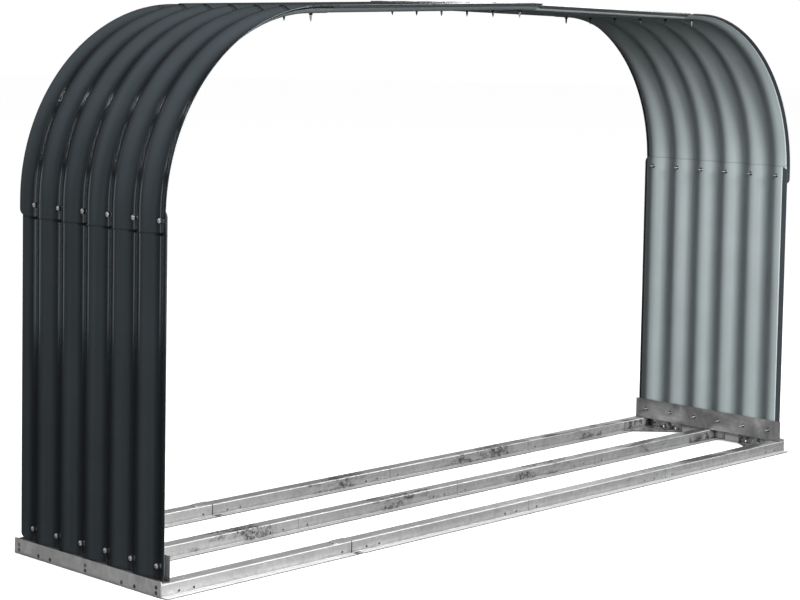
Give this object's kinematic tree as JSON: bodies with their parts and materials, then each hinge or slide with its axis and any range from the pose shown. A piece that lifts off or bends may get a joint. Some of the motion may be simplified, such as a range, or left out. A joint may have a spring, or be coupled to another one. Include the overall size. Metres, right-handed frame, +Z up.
{
  "type": "log store",
  "caption": "Open corrugated steel log store: an arch of lapped sheets with rounded corners on a galvanised base of spliced rails.",
  "frame": {"origin": "middle of the base, on the ground", "axes": "+X along the store to the right, +Y to the back, +Z up"},
  "size_m": [2, 0.469, 1.1],
  "materials": {
    "coated_sheet": "smooth factory coat, satin, dark slate",
    "galvanised": "hot-dip galvanised with a fine spangle"
  },
  "bodies": {
    "root": {"left_side_panel": "coated_sheet", "right_side_panel": "coated_sheet", "left_corner_panel": "coated_sheet", "right_corner_panel": "coated_sheet", "left_roof_panel": "coated_sheet", "right_roof_panel": "coated_sheet", "left_end_rail": "galvanised", "right_end_rail": "galvanised", "left_foot_plate": "galvanised", "right_foot_plate": "galvanised", "front_rail_1": "galvanised", "front_rail_2": "galvanised", "front_rail_3": "galvanised", "front_rail_4": "galvanised", "middle_rail_1": "galvanised", "middle_rail_2": "galvanised", "middle_rail_3": "galvanised", "middle_rail_4": "galvanised", "back_rail_1": "galvanised", "back_rail_2": "galvanised", "back_rail_3": "galvanised", "back_rail_4": "galvanised", "front_left_bracket": "galvanised", "front_right_bracket": "galvanised", "back_left_bracket": "galvanised", "back_right_bracket": "galvanised", "left_middle_cleat": "galvanised", "right_middle_cleat": "galvanised"}
  },
  "joints": []
}
